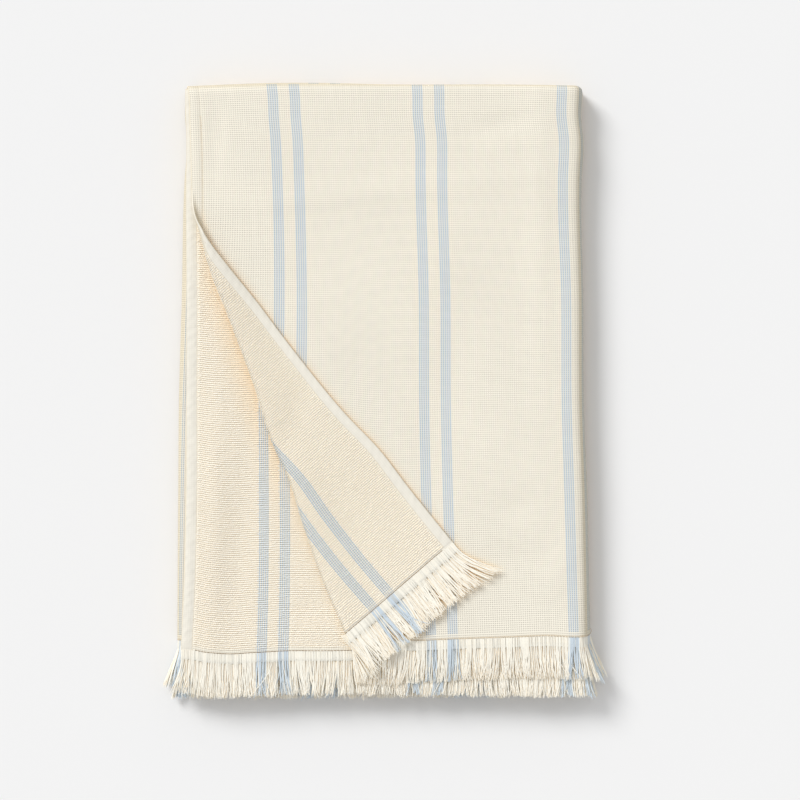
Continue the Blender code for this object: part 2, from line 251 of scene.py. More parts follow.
# Colours, in linear red, green and blue.
CREAM = (0.915, 0.865, 0.745)
PALE = (0.87, 0.83, 0.735)
YARN = (1.0, 0.985, 0.905)
YARN_DEEP = (0.985, 0.945, 0.84)
GROUND = (0.95, 0.90, 0.78)
LOOP = (0.965, 0.93, 0.84)
LOOP_DEEP = (0.945, 0.89, 0.77)
CORNER_LOOP = (0.985, 0.96, 0.885)
CORNER_LOOP_DEEP = (0.965, 0.925, 0.825)
BLUE = (0.56, 0.65, 0.73)
YARN_BLUE = (0.62, 0.73, 0.84)
THREAD = (0.24, 0.16, 0.09)
FACE_THREAD = (0.66, 0.57, 0.44)
BAND = (0.95, 0.915, 0.81)
PALE_THREAD = (0.80, 0.74, 0.62)
# painted warm shade by the corner's crease
CREASE_SHADE_TINT = (1.0, 0.85, 0.64)
FLOOR_WHITE = (0.90, 0.90, 0.90)

# What those colours are multiplied by, all painted shade: between yarns, in the cloth's close
# places, and where the cloth bends away from level.
WARM_SHADE = (1.0, 0.81, 0.55)
GOLDEN_SHADE = (1.0, 0.68, 0.33)
BEND_SHADE = (0.80, 0.765, 0.69)
BENDS_OVER = 0.35

FACE, END, REVERSE, HEM = range(4)  # the cloth's finishes


def ease(t):
    """0 to 1 with a soft start and finish."""
    t = np.clip(t, 0.0, 1.0)
    return t * t * (3 - 2 * t)


def look_up(table, at, column):
    """A table's value in metres at a place, on a smooth curve through its rows in mm."""
    rows = np.array(table) * MM
    places, values = rows[:, 0], rows[:, column]
    slopes = np.gradient(values, places)
    at = np.clip(at, places[0], places[-1])
    k = np.clip(np.searchsorted(places, at, side="right") - 1, 0, len(places) - 2)
    wide = places[k + 1] - places[k]
    rise = values[k + 1] - values[k]
    t = (at - places[k]) / wide
    bend = (1 - t) * (slopes[k] * wide - rise) + t * (rise - slopes[k + 1] * wide)
    return values[k] + t * rise + t * (1 - t) * bend


# Where each panel and each turn ends, along the sheet and across it.
ALONG_ENDS = np.cumsum(
    [
        LEG,
        math.pi * WIDE_TURN,
        LEG + MIDDLE_FOLD_BELOW,
        math.pi * NARROW_TURN,
        LEG + MIDDLE_FOLD_BELOW,
        math.pi * NARROW_TURN,
    ]
)
ACROSS_ENDS = np.cumsum([TOP_PANEL, SQUARE_TURN, BOTTOM_PANEL, ROUND_TURN])
LEGS = 4 * LEG + 2 * MIDDLE_FOLD_BELOW + SECOND_END_BELOW
LENGTH = LEGS + math.pi * (WIDE_TURN + 2 * NARROW_TURN)  # from woven end to woven end
SECOND_LEG = LENGTH - LEG - SECOND_END_BELOW  # where the layer under the top one begins


def from_crease(u, v):
    """How far a point lies along the crease from the side hem, and beyond it."""
    along = u * ALONG_U + (v - CREASE_UP) * ALONG_V
    beyond = u * ALONG_V - (v - CREASE_UP) * ALONG_U
    return along, beyond


def turned_back(u, v, out):
    """The corner beyond the crease, rolled over it and laid down on its own layer."""
    along, beyond = from_crease(u, v)
    radius = look_up(CREASE, along, 1)
    wander = look_up(CREASE, along, 2)
    near = ease(1 + beyond / (0.4 * WANDER_FADES))
    flat_cloth = beyond + radius
    turn = np.clip(flat_cloth / radius, 0.0, math.pi)
    past = np.maximum(flat_cloth - math.pi * radius, 0.0)
    rolled = flat_cloth > 0
    loft = 2 * radius + (CORNER_RISE - 2 * radius) * ease(past / CORNER_SETTLES)
    on_roll = radius - (radius - out) * np.cos(turn)
    rise = np.where(past > 0, loft - out, on_roll)
    new_beyond = np.where(rolled, -radius + (radius - out) * np.sin(turn) - past, beyond)
    fade = np.where(rolled, 2 - np.clip(past / WANDER_FADES, 0, 2), near)
    half_turned = ease(turn / math.pi)
    shift = wander * np.where(past > 0, fade, near + (2 - near) * half_turned * rolled)
    new_beyond = new_beyond + shift
    hem_share = beyond / np.maximum(along * CREASE_IN / CREASE_UP, 4 * MM)
    hem_share = np.clip(hem_share, 0.0, 1.3) * (past > 0)
    new_beyond = new_beyond + look_up(CREASE, along, 3) * hem_share
    along = along - look_up(CREASE, along, 4) * hem_share
    moved = rolled | (near > 0)
    new_u = np.where(moved, along * ALONG_U + new_beyond * ALONG_V, u)
    new_v = np.where(moved, CREASE_UP + along * ALONG_V - new_beyond * ALONG_U, v)
    return new_u, new_v, np.where(rolled, rise, out)


def crosswise(u, v, out):
    """Where the crosswise folds put a point: from the side hem, up the pile's length from the
    first end, and up through the stack of four."""
    top_shift = look_up(ENDS, u, 1) * (1 - ease(v / LEG))
    top_u, top_v, top_out = turned_back(u, v + top_shift, out)
    low_shift = look_up(ENDS, u, 2) * ease((v - SECOND_LEG) / LEG)
    ends = ALONG_ENDS
    wide = (v - ends[0]) / WIDE_TURN
    middle = (v - ends[2]) / NARROW_TURN
    narrow = (v - ends[4]) / NARROW_TURN
    in_order = [v < end for end in ends]
    y = np.select(
        in_order,
        [
            top_v,
            LEG + (WIDE_TURN + out) * np.sin(wide),
            LEG - (v - ends[1]),
            -MIDDLE_FOLD_BELOW - (NARROW_TURN + out) * np.sin(middle),
            v - ends[3] - MIDDLE_FOLD_BELOW,
            LEG + (NARROW_TURN - out) * np.sin(narrow),
        ],
        LEG - (v - ends[5]) + low_shift,
    )
    high = np.select(
        in_order,
        [
            3.5 * PITCH + top_out,
            2 * PITCH + (WIDE_TURN + out) * np.cos(wide),
            0.5 * PITCH - out,
            PITCH - (NARROW_TURN + out) * np.cos(middle),
            1.5 * PITCH + out,
            2 * PITCH - (NARROW_TURN - out) * np.cos(narrow),
        ],
        2.5 * PITCH - out,
    )
    return np.where(v < LEG, top_u, u), y, high


def lengthwise(u, y, high, v, slides):
    """Where the lengthwise folds put a point of the stack: across, along and up. slides is the
    share of the top layer's slide over the right fold that the point takes."""
    first_hem = HEM_AT + look_up(EDGES, y, 1)
    second_hem = SECOND_HEM_AT + look_up(EDGES, y, 2)
    change = math.pi * WIDE_TURN + 2 * HEM_CHANGES
    first_share = 1 - ease((v - LEG + HEM_CHANGES) / change)
    hem = second_hem + (first_hem - second_hem) * first_share
    left = LEFT_TURN_AT + look_up(EDGES, y, 3)
    right = RIGHT_TURN_AT + look_up(EDGES, y, 4)
    drawn_in = ease((u - SQUEEZE_FROM) / (SQUEEZE_TO - SQUEEZE_FROM))
    drawn_in = drawn_in * (1 - ease((u - SQUEEZE_TO) / (SQUEEZE_ENDS - SQUEEZE_TO)))
    drawn_in = drawn_in * ease((v - SECOND_LEG) / SQUEEZE_ALONG)

    ends = ACROSS_ENDS
    slid = (1 - np.exp(-np.maximum(u, 0) / SLIDES_OVER)) * slides
    slid = slid * (1 - ease((u - ends[1]) / BOTTOM_PANEL)) * first_share
    u = u + slid * look_up(SLID, y, 1)
    quarter = math.pi / 2 * TURN_OUTER
    path = (u - ends[0]) / SQUARE_TURN * (2 * quarter + TURN_SIDE)
    down = np.clip(path - quarter, 0, TURN_SIDE)
    turn = (path - down) / TURN_OUTER
    level = 2 * STACK - TURN_EASE - down
    radius = high + TURN_EASE
    rounded = math.pi * (u - ends[2]) / ROUND_TURN
    in_order = [u < end for end in ends]
    x = np.select(
        in_order,
        [
            hem + (right - hem) * u / TOP_PANEL - SQUEEZE * drawn_in,
            right + radius * np.sin(turn),
            right + (left - right) * (u - ends[1]) / BOTTOM_PANEL,
            left - high * np.sin(rounded),
        ],
        left + (right - TUCK_SHORT - left) * (u - ends[3]) / TUCKED_PANEL,
    )
    z = np.select(
        in_order,
        [
            2 * STACK + high,
            level + radius * np.cos(turn),
            STACK - high,
            STACK - high * np.cos(rounded),
        ],
        STACK + high,
    )
    return np.stack([x, y, z], axis=-1)


def laid(u, v, out):
    """A point of the sheet in the folded pile, before the pile settles."""
    u, v, out = np.broadcast_arrays(np.asarray(u, float), v, out)
    across, along, high = crosswise(u, v, out)
    _, beyond = from_crease(u, v)
    return lengthwise(across, along, high, v, ease(-beyond / SLIDES_BY_CREASE))


def soft_forms(table, x, y):
    """The height of a table's troughs and ridges at a place on the pile."""
    total = np.zeros_like(x)
    for across, along, turned, half_long, half_wide, height in table:
        c, s = math.cos(math.radians(turned)), math.sin(math.radians(turned))
        off_x, off_y = x - across * MM, y - along * MM
        lengthways = (off_x * c + off_y * s) / (half_long * MM)
        crossways = (off_y * c - off_x * s) / (half_wide * MM)
        total += height * MM * np.exp(-(lengthways**2) - crossways**2)
    return total


def settled(points, second=False):
    """The pile's own unevenness: wandering edges, the bowed top fold, swells and soft folds in
    the upper layers, and the fringe sinking towards the surface. second marks the points of
    the layer under the top one."""
    x, y, z = points[..., 0], points[..., 1], points[..., 2] - FLOOR
    height = np.clip(z / (3 * STACK), 0.0, 1.0)
    side = ease((x - RIGHT_TURN_AT + WANDER_DEEP) / WANDER_DEEP)
    top = ease((y - LEG + WANDER_DEEP) / WANDER_DEEP)
    left = ease((LEFT_TURN_AT + WANDER_DEEP - x) / WANDER_DEEP)
    x = x + look_up(EDGES, y, 5) * side * np.sin(math.tau * height) / 2
    x = x + WANDER * left * np.sin(math.tau * height + y / WANDER_DEEP)
    bow = look_up(TOP_FOLD, x, 1) + WANDER * np.sin(math.tau * height + x / WANDER_DEEP)
    y = y + top * bow
    raised = ease((z - STACK) / (2 * STACK))
    wave = np.sin(math.tau * x / SWELL_ACROSS + 0.8) * np.sin(math.tau * y / SWELL_ALONG + 0.4)
    place_x, place_y = x - MIDDLE[0], y - MIDDLE[1]
    forms = soft_forms(TOP_FORMS, place_x, place_y)
    forms = forms + np.where(second, soft_forms(SECOND_FORMS, place_x, place_y), 0.0)
    z = z + raised * (SWELL * wave + forms)
    z = z * (1 - FRINGE_SINKS * ease(-y / SINKS_OVER))
    return np.stack([place_x, place_y, np.maximum(z, 0.0)], axis=-1)


def place(u, v, out):
    """Where a point of the sheet lies in the finished pile."""
    return settled(laid(u, v, out), np.asarray(v) > SECOND_LEG)


# ---- The cloth ----


def marks(*stretches):
    """Places along the sheet: each stretch is where it ends and the number of its steps."""
    places = [0.0]
    for end, steps in stretches:
        start = places[-1]
        places += [start + (end - start) * k / steps for k in range(1, steps + 1)]
    return places


def edge_marks(wide):
    """The steps at a side hem or an end: its rounded edge, and the groove of its stitches."""
    return (
        (EDGE_ROUND * 0.3, 1),
        (EDGE_ROUND, 1),
        (wide - GROOVE_WIDE, 2),
        (wide, 1),
        (wide + GROOVE_WIDE, 1),
        (wide + THINNING, 1),
    )


def cloth_marks():
    """The places across and along the sheet where its grid lines run."""
    corner = SQUARE_TURN * math.pi / 2 * TURN_OUTER / (math.pi * TURN_OUTER + TURN_SIDE)
    across = marks(
        *edge_marks(HEM_WIDE),
        (TOP_PANEL, 70),
        (TOP_PANEL + corner, 6),
        (ACROSS_ENDS[1] - corner, 1),
        (ACROSS_ENDS[1], 6),
        (ACROSS_ENDS[2], 20),
        (ACROSS_ENDS[3], 10),
        (WIDTH - HEM_WIDE, 14),
        (WIDTH - EDGE_ROUND, 1),
        (WIDTH, 1),
    )
    steps = edge_marks(END_BAND)
    far_steps = [(LENGTH - a, n) for (a, _), (_, n) in zip(steps[-2::-1], steps[:0:-1])]
    along = marks(
        *steps,
        *zip(ALONG_ENDS, (103, 8, 26, 5, 26, 5)),
        (LENGTH - END_BAND - THINNING, 103),
        *far_steps,
        (LENGTH, 1),
    )
    return across, along


def cut_for_crease(sheet):
    """Cuts the flat sheet's first corner along the lines where the crease bends it."""
    along = Vector((CREASE_IN, -CREASE_UP, 0)).normalized()
    outward = Vector((along.y, -along.x, 0))
    near_end = Vector((0, CREASE_UP, 0))
    far_end = near_end + along * CREASE_LONG
    near_radius, far_radius = (float(look_up(CREASE, at, 1)) for at in (0.0, CREASE_LONG))
    for k in range(CREASE_CUTS + 1):
        share = math.pi * k / CREASE_CUTS - 1
        a = near_end + outward * share * near_radius
        b = far_end + outward * share * far_radius
        normal = Vector((b.y - a.y, a.x - b.x, 0)).normalized()
        corner = [
            face
            for face in sheet.faces
            if all(v.co.x < TOP_PANEL + MM and v.co.y < LEG + MM for v in face.verts)
        ]
        edges = {edge for face in corner for edge in face.edges}
        verts = {vert for face in corner for vert in face.verts}
        parts = corner + list(edges) + list(verts)
        bmesh.ops.bisect_plane(sheet, geom=parts, dist=1e-5, plane_co=a, plane_no=normal)


def flat_sheet():
    """The sheet laid out flat: its points as u and v, its faces, and its outer edges."""
    across, along = cloth_marks()
    sheet = bmesh.new()
    bmesh.ops.create_grid(sheet, x_segments=len(across) - 1, y_segments=len(along) - 1, size=0.5)
    for vert in sheet.verts:
        column = round((vert.co.x + 0.5) * (len(across) - 1))
        row = round((vert.co.y + 0.5) * (len(along) - 1))
        vert.co = Vector((across[column], along[row], 0))
    cut_for_crease(sheet)
    bmesh.ops.recalc_face_normals(sheet, faces=sheet.faces)
    if sum(face.normal.z for face in sheet.faces) < 0:
        bmesh.ops.reverse_faces(sheet, faces=sheet.faces)
    sheet.verts.index_update()
    points = np.array([vert.co[:2] for vert in sheet.verts])
    faces = [[vert.index for vert in face.verts] for face in sheet.faces]
    loops = [edge.link_loops[0] for edge in sheet.edges if edge.is_boundary]
    rim = [(loop.vert.index, loop.link_loop_next.vert.index) for loop in loops]
    sheet.free()
    return points, faces, rim


def skin(u, v):
    """How far the cloth's face and its reverse stand off the middle of the cloth: thicker at
    the hems and ends, pinched where they are stitched, and round at the very edge."""
    from_side = np.minimum(u, WIDTH - u)
    from_end = np.minimum(v, LENGTH - v)
    thinning = np.minimum((from_side - HEM_WIDE), (from_end - END_BAND)) / THINNING
    thick = HEM_THICK + (CLOTH_THICK - HEM_THICK) * ease(thinning)
    groove = np.exp(-(((from_side - HEM_WIDE) / GROOVE_WIDE) ** 2))
    groove = np.maximum(groove, np.exp(-(((from_end - END_BAND) / GROOVE_WIDE) ** 2)))
    inward = np.clip(1 - np.minimum(from_side, from_end) / EDGE_ROUND, 0, 1)
    full = np.maximum(np.sqrt(1 - inward**2), 0.2)
    middle = (CLOTH_THICK - thick) / 2
    half = (thick / 2 - GROOVE_DEEP * groove) * full
    return middle + half, middle - half


def add_object(name, mesh):
    made = bpy.data.objects.new(name, mesh)
    bpy.context.scene.collection.objects.link(made)
    return made


def make_cloth(finishes):
    """The sheet on its folds, closed, with its face, its reverse and its rim."""
    flat, faces, rim = flat_sheet()
    u, v = flat[:, 0], flat[:, 1]
    face_out, reverse_out = skin(u, v)
    points = np.concatenate([place(u, v, face_out), place(u, v, reverse_out)])
    count = len(flat)
    reverse = [[index + count for index in reversed(face)] for face in faces]
    edge = [[b, a, a + count, b + count] for a, b in rim]
    mesh = bpy.data.meshes.new("towel_cloth")
    mesh.from_pydata(points.tolist(), [], faces + reverse + edge)

    centres = np.array([flat[face].mean(axis=0) for face in faces])
    at_side = np.minimum(centres[:, 0], WIDTH - centres[:, 0]) < HEM_WIDE
    at_end = np.minimum(centres[:, 1], LENGTH - centres[:, 1]) < END_BAND
    on_face = np.where(at_end, END, FACE)
    on_reverse = np.where(at_side, HEM, np.where(at_end, END, REVERSE))
    slots = np.concatenate([on_face, on_reverse, np.full(len(edge), HEM)])
    mesh.polygons.foreach_set("material_index", slots)
    for finish in finishes:
        mesh.materials.append(finish)

    corners = np.empty(len(mesh.loops), dtype=np.int32)
    mesh.loops.foreach_get("vertex_index", corners)
    weave = mesh.uv_layers.new(name="weave")
    both = np.concatenate([flat, flat])
    weave.data.foreach_set("uv", both[corners].ravel())
    mesh.shade_smooth()
    return add_object("towel_cloth", mesh)


# ---- Nodes, for shapes and for materials ----


def put(tree, socket, value):
    """Links a socket to an input, or sets a plain value on it."""
    if isinstance(value, bpy.types.NodeSocket):
        tree.links.new(value, socket)
    else:
        socket.default_value = value


def add(tree, kind, output, **values):
    """Adds a node and gives its output. Capitalised values go to its inputs, whose names have a
    space for each "_"; the others are its own settings."""
    node = tree.nodes.new(kind)
    for label, value in values.items():
        if label[0].islower():
            setattr(node, label, value)
        else:
            put(tree, node.inputs[label.replace("_", " ")], value)
    return node.outputs[output]


def start_tree(name, kinds):
    """An empty tree with a geometry input and one named input of each kind."""
    tree = bpy.data.node_groups.new(name, "GeometryNodeTree")
    for label, kind in {"Geometry": "Geometry", **kinds}.items():
        tree.interface.new_socket(label, in_out="INPUT", socket_type="NodeSocket" + kind)
    tree.interface.new_socket("Geometry", in_out="OUTPUT", socket_type="NodeSocketGeometry")
    return tree, tree.nodes.new("NodeGroupInput").outputs


def named(tree, kind, label):
    """One of the mesh's own attributes."""
    node = tree.nodes.new("GeometryNodeInputNamedAttribute")
    node.data_type = kind
    node.inputs["Name"].default_value = label
    return node.outputs["Attribute"]


def finish_tree(tree, geometry, material):
    """Realizes what was set, leaves it flat shaded, gives it its material, closes the tree."""
    real = add(tree, "GeometryNodeRealizeInstances", "Geometry", Geometry=geometry)
    flat = add(tree, "GeometryNodeSetShadeSmooth", "Geometry", Geometry=real, Shade_Smooth=False)
    paint = add(tree, "GeometryNodeSetMaterial", "Geometry", Geometry=flat, Material=material)
    tree.links.new(paint, tree.nodes.new("NodeGroupOutput").inputs["Geometry"])


def yarn_tree():
    """Turns lines into yarns, as thick as each point says. They lie a little flattened."""
    kinds = {"Sides": "Int", "Flatness": "Float", "Material": "Material"}
    tree, start = start_tree("yarns_on_lines", kinds)
    lines = add(tree, "GeometryNodeMeshToCurve", "Curve", Mesh=start["Geometry"])
    lines = add(tree, "GeometryNodeSetCurveNormal", "Curve", mode="Z_UP", Curve=lines)
    circle = "GeometryNodeCurvePrimitiveCircle"
    ring = add(tree, circle, "Curve", Radius=1.0, Resolution=start["Sides"])
    stretch = add(tree, "ShaderNodeCombineXYZ", "Vector", X=1.0, Y=start["Flatness"], Z=1.0)
    ring = add(tree, "GeometryNodeTransform", "Geometry", Geometry=ring, Scale=stretch)
    thick = named(tree, "FLOAT", "thick")
    shape = {"Curve": lines, "Profile Curve": ring, "Scale": thick, "Fill Caps": True}
    tube = add(tree, "GeometryNodeCurveToMesh", "Mesh", **shape)
    finish_tree(tree, tube, start["Material"])
    return tree


def arch_tree():
    """Sets a small arch of yarn on each point, standing along its "up" and lying along its
    "along". Loops and stitches are both such arches."""
    kinds = {"Steps": "Int", "Sides": "Int", "Material": "Material"}
    kinds.update(dict.fromkeys(("Half Length", "Height", "Yarn Radius"), "Float"))
    tree, start = start_tree("arches_on_points", kinds)
    bend = {"Start Angle": math.radians(-12), "Sweep Angle": math.radians(204)}
    bend.update({"Radius": 1.0, "Resolution": start["Steps"]})
    arc = add(tree, "GeometryNodeCurveArc", "Curve", **bend)
    size = {"X": start["Half Length"], "Y": start["Height"], "Z": 1.0}
    stretch = add(tree, "ShaderNodeCombineXYZ", "Vector", **size)
    upright = {"Rotation": (math.radians(90), 0, 0), "Scale": stretch}
    arc = add(tree, "GeometryNodeTransform", "Geometry", Geometry=arc, **upright)
    yarn = {"Radius": start["Yarn Radius"], "Resolution": start["Sides"]}
    ring = add(tree, "GeometryNodeCurvePrimitiveCircle", "Curve", **yarn)
    tube = add(tree, "GeometryNodeCurveToMesh", "Mesh", Curve=arc, Profile_Curve=ring)
    spot = add(tree, "GeometryNodeInputPosition", "Position")
    offset = add(tree, "ShaderNodeSeparateXYZ", "X", Vector=spot)
    keep = "GeometryNodeStoreNamedAttribute"
    tube = add(tree, keep, "Geometry", Name="offset", Geometry=tube, Value=offset)

    points = add(tree, "GeometryNodeMeshToPoints", "Points", Mesh=start["Geometry"])
    ways = {
        "primary_axis": "Z",
        "secondary_axis": "X",
        "Primary Axis": named(tree, "FLOAT_VECTOR", "up"),
        "Secondary Axis": named(tree, "FLOAT_VECTOR", "along"),
    }
    turn = add(tree, "FunctionNodeAxesToRotation", "Rotation", **ways)
    copies = {"Instance": tube, "Rotation": turn, "Scale": named(tree, "FLOAT", "size")}
    copies = add(tree, "GeometryNodeInstanceOnPoints", "Instances", Points=points, **copies)
    finish_tree(tree, copies, start["Material"])
    return tree


def grow(name, source, tree, values):
    """Runs a tree on a source mesh and keeps the result as a plain mesh."""
    holder = add_object(name + "_source", source)
    steps = holder.modifiers.new("Grow", "NODES")
    steps.node_group = tree
    for item in tree.interface.items_tree:
        if item.in_out == "INPUT" and item.name in values:
            steps[item.identifier] = values[item.name]
    bpy.context.view_layer.update()
    graph = bpy.context.evaluated_depsgraph_get()
    mesh = bpy.data.meshes.new_from_object(holder.evaluated_get(graph), depsgraph=graph)
    mesh.name = name
    bpy.data.objects.remove(holder, do_unlink=True)
    return add_object(name, mesh)


def source_mesh(name, points, edges, floats, vectors):
    """A mesh of bare points and lines that carries its attributes to a tree."""
    mesh = bpy.data.meshes.new(name)
    mesh.from_pydata(points.reshape(-1, 3).tolist(), edges, [])
    for kind, field, group in (("FLOAT", "value", floats), ("FLOAT_VECTOR", "vector", vectors)):
        for label, values in group.items():
            layer = mesh.attributes.new(label, kind, "POINT")
            layer.data.foreach_set(field, np.asarray(values, np.float32).ravel())
    return mesh


# ---- Fringe ----

YARNS = 3000  # at each end
YARN_STEPS = 7
YARN_RADIUS = 0.37 * MM
ROOT_INSIDE = END_BAND - 0.5 * MM
STRAYS = 0.10  # the share of the yarns that lean more than the others
STRIPE_YARNS = 0.82  # the share of a stripe's yarns that are blue

# The groups of yarns that cling together: how wide they are in mm, how much they differ in
# lean, in length and in height (in mm), and how far of its way to their middle a yarn goes.
GROUPS_WIDE = 1.8, 6.5
GROUPS_DIFFER = 0.065, 0.022, 0.14
GATHERED = 0.22

# How each yarn waves: across at its tip, across along its length, and up and down.
WAVES = 0.66 * MM, 0.24 * MM, 0.20 * MM
LOCK_PITCH = WIDTH / 124
SWAYS = (
    # how far the fringe sways in mm, the turn from lock to lock, where it starts
    (0.9, 0.61, 1.3),
    (0.8, 0.23, 0.0),
)

# How far from the cloth's middle the yarns lie on the end band and past it.
ON_BAND = HEM_THICK / 2 + 0.12 * MM
PAST_BAND = 0.36 * MM
OUTER_SPLAYS, INNER_SPLAYS = (0.42, 0.45), (0.24, 0.28)
HEM_SPLAYS = 16 * MM
TIPS_LIFTED = 2.4 * MM


def unit(vectors):
    return vectors / np.linalg.norm(vectors, axis=-1, keepdims=True)


def striped(u):
    """1 where a warp yarn is blue."""
    half = PAIR_REPEAT / 2
    off = [np.abs((u - centre + half) % PAIR_REPEAT - half) for centre in STRIPES]
    return (np.minimum(*off) < STRIPE_LINES / 2 * WARP_REPEAT).astype(float)


def make_fringe(name, end, side, length_column, splays, lifted, seed, tree, finish):
    """The loose warp yarns at a woven end. side is -1 or 1: the way off the end. splays are how
    far they lean out at the pile's side folds and at the side hem, and lifted is how high the
    tips of the turned-back corner's yarns stand."""
    splay, hem_splay = splays
    draw = np.random.default_rng(seed)
    u = (np.arange(YARNS) + draw.uniform(0.05, 0.95, YARNS)) * WIDTH / YARNS
    u = np.clip(u, 0.5 * MM, WIDTH - 0.5 * MM)
    step = 0.5 * MM
    root = laid(u, end, 0.0)
    run = root - laid(u, end - side * step, 0.0)
    run[:, 2] = 0
    run = unit(run)
    row = unit(laid(u + step, end, 0.0) - laid(u - step, end, 0.0))
    up = unit(np.cross(row, run)) * side
    lean = -row[:, 2]
    run[:, 0] += lean * splay * (np.abs(lean) > 0.05)

    groups = np.cumsum(draw.uniform(*GROUPS_WIDE, 400)) * MM
    groups = groups[groups < WIDTH]
    group = np.searchsorted(groups, u)
    edges = np.concatenate([[0.0], groups, [WIDTH]])
    middle = (edges[group] + edges[group + 1]) / 2
    group_lean, group_long, group_lift = (
        draw.normal(0, spread, len(edges))[group] for spread in GROUPS_DIFFER
    )

    lock = u / LOCK_PITCH
    sway = sum(far * MM * np.sin(turn * lock + start * side) for far, turn, start in SWAYS)
    long = look_up(ENDS, u, length_column)
    long = long * (1 + group_long + draw.normal(0, 0.028, YARNS))
    stray = draw.random(YARNS) < STRAYS
    own_lean = draw.normal(0, np.where(stray, 0.20, 0.05))
    own_lean = own_lean - hem_splay * np.exp(-u / HEM_SPLAYS)
    share = np.linspace(0, 1, YARN_STEPS + 1)[None, :]
    phase = draw.uniform(0, math.tau, (3, YARNS, 1))
    often = draw.uniform(0.8, 1.9, (3, YARNS, 1))
    wave = np.sin(math.tau * often * share + phase)

    along = -ROOT_INSIDE + (long[:, None] + ROOT_INSIDE) * share
    free = np.clip(along / long[:, None], 0, 1)
    across = sway[:, None] * free**1.5
    across = across + (middle - u)[:, None] * GATHERED * free**1.6
    across = across + (group_lean + own_lean)[:, None] * np.maximum(along, 0) * free**0.5
    across = across + WAVES[0] * wave[0] * free + WAVES[1] * wave[1] * free**0.5
    side_of_band = draw.choice([-1.0, 0.0, 1.0], YARNS, p=[0.4, 0.2, 0.4])[:, None]
    level = ON_BAND + (PAST_BAND - ON_BAND) * ease((along + 1 * MM) / (4 * MM))
    lift = side_of_band * level + WAVES[2] * wave[2] * free
    lift = lift + group_lift[:, None] * MM * free**2

    points = root[:, None] + run[:, None] * along[..., None]
    points = points + row[:, None] * across[..., None] + up[:, None] * lift[..., None]
    points = settled(points, end > SECOND_LEG)
    radius = YARN_RADIUS * draw.uniform(0.85, 1.15, (YARNS, 1)) * (1 - 0.5 * free**4)
    on_corner = ease((CREASE_IN + 6 * MM - u) / (12 * MM))[:, None]
    points[..., 2] += lifted * on_corner * free**1.6
    points[..., 2] = np.maximum(points[..., 2], radius)

    rows = np.arange(YARNS)[:, None] * (YARN_STEPS + 1) + np.arange(YARN_STEPS)[None, :]
    edges = np.stack([rows, rows + 1], axis=-1).reshape(-1, 2).tolist()
    blue = striped(u) * (draw.random(YARNS) < STRIPE_YARNS)
    ones = np.ones_like(share)
    tone = draw.random(YARNS)[:, None] * ones
    floats = {"thick": radius, "tone": tone, "blue": blue[:, None] * ones}
    source = source_mesh(name + "_lines", points, edges, floats, {})
    return grow(name, source, tree, {"Sides": 4, "Flatness": 0.5, "Material": finish})


# ---- Terry loops and stitches ----

LOOP_OUT = -0.62 * MM  # where the loops stand, from the middle of the cloth
LOOP_HALF_LONG, LOOP_HIGH = 0.86 * MM, 0.40 * MM
LOOP_RADIUS, CORNER_LOOP_RADIUS = 0.48 * MM, 0.40 * MM
LOOP_PLAY = {"jitter": 0.11 * MM, "spread": 0.13}
LOWEST_STITCH = 0.5 * MM  # so that the stitches underneath don't reach below the towel
STITCH_PITCH = 2.3 * MM
STITCH_HALF_LONG, STITCH_HIGH, STITCH_RADIUS = 1.0 * MM, 0.22 * MM, 0.26 * MM
UNDER_FOLD = 4.0 * MM  # how far under the corner's crease the second layer's loops reach

# Painted warm shade by the crease, in a peach colour: how far it reaches, and where it starts, is
# full, begins to fade and has faded, along the crease.
PEACH_WIDE = 30 * MM
PEACH_FROM, PEACH_FULL, PEACH_FADES, PEACH_ENDS = 20 * MM, 80 * MM, 190 * MM, 310 * MM


def arches(name, u, v, out, tree, values, seed, jitter=0.0, turned=0.0, spread=0.0, warm=0.0):
    """Arches on the sheet at each u and v, on the side that out is on. turned is their angle from
    the way across, and the last argument is how much painted warm shade by the crease each one
    has, in a peach colour."""
    draw = np.random.default_rng(seed)
    count = len(u)
    u = u + draw.uniform(-jitter, jitter, count)
    v = v + draw.uniform(-jitter, jitter, count)
    at = place(u, v, out)
    up = unit(place(u, v, out + math.copysign(0.5 * MM, out)) - at)
    along = unit(place(u + 0.4 * MM, v, out) - place(u - 0.4 * MM, v, out))
    at[:, 2] = np.maximum(at[:, 2], LOWEST_STITCH)
    upright = np.cross(up, along)
    angle = (turned + draw.normal(0, spread, count))[:, None]
    along = along * np.cos(angle) + upright * np.sin(angle)
    up = unit(up + upright * draw.normal(0, spread, count)[:, None])
    floats = {
        "size": draw.uniform(1 - 1.2 * spread, 1 + 1.2 * spread, count),
        "tone": draw.random(count),
        "blue": striped(u),
        "warm": warm + np.zeros(count),
        "across": u,
    }
    source = source_mesh(name + "_points", at, [], floats, {"up": up, "along": along})
    return grow(name, source, tree, values)


def arch_values(finish, half_long, high, radius, sides):
    return {
        "Half Length": half_long,
        "Height": high,
        "Yarn Radius": radius,
        "Steps": 5,
        "Sides": sides,
        "Material": finish,
    }


def loop_grid(first_v, last_v):
    """Where loops stand on the sheet: on every warp and weft repeat past the side hem."""
    columns = np.arange(math.ceil(TOP_PANEL / WARP_REPEAT))
    u = FIRST_STRIPE + (columns - round(FIRST_STRIPE / WARP_REPEAT)) * WARP_REPEAT
    u = u[(u > HEM_WIDE + 0.9 * MM) & (u < TOP_PANEL)]
    v = np.arange(math.ceil(first_v / WEFT_REPEAT), math.floor(last_v / WEFT_REPEAT)) * WEFT_REPEAT
    across, along = np.meshgrid(u, v)
    odd = np.round(along / WEFT_REPEAT) % 2
    across = across + 0.5 * WARP_REPEAT * odd * (1 - striped(across))
    return across.ravel(), along.ravel()


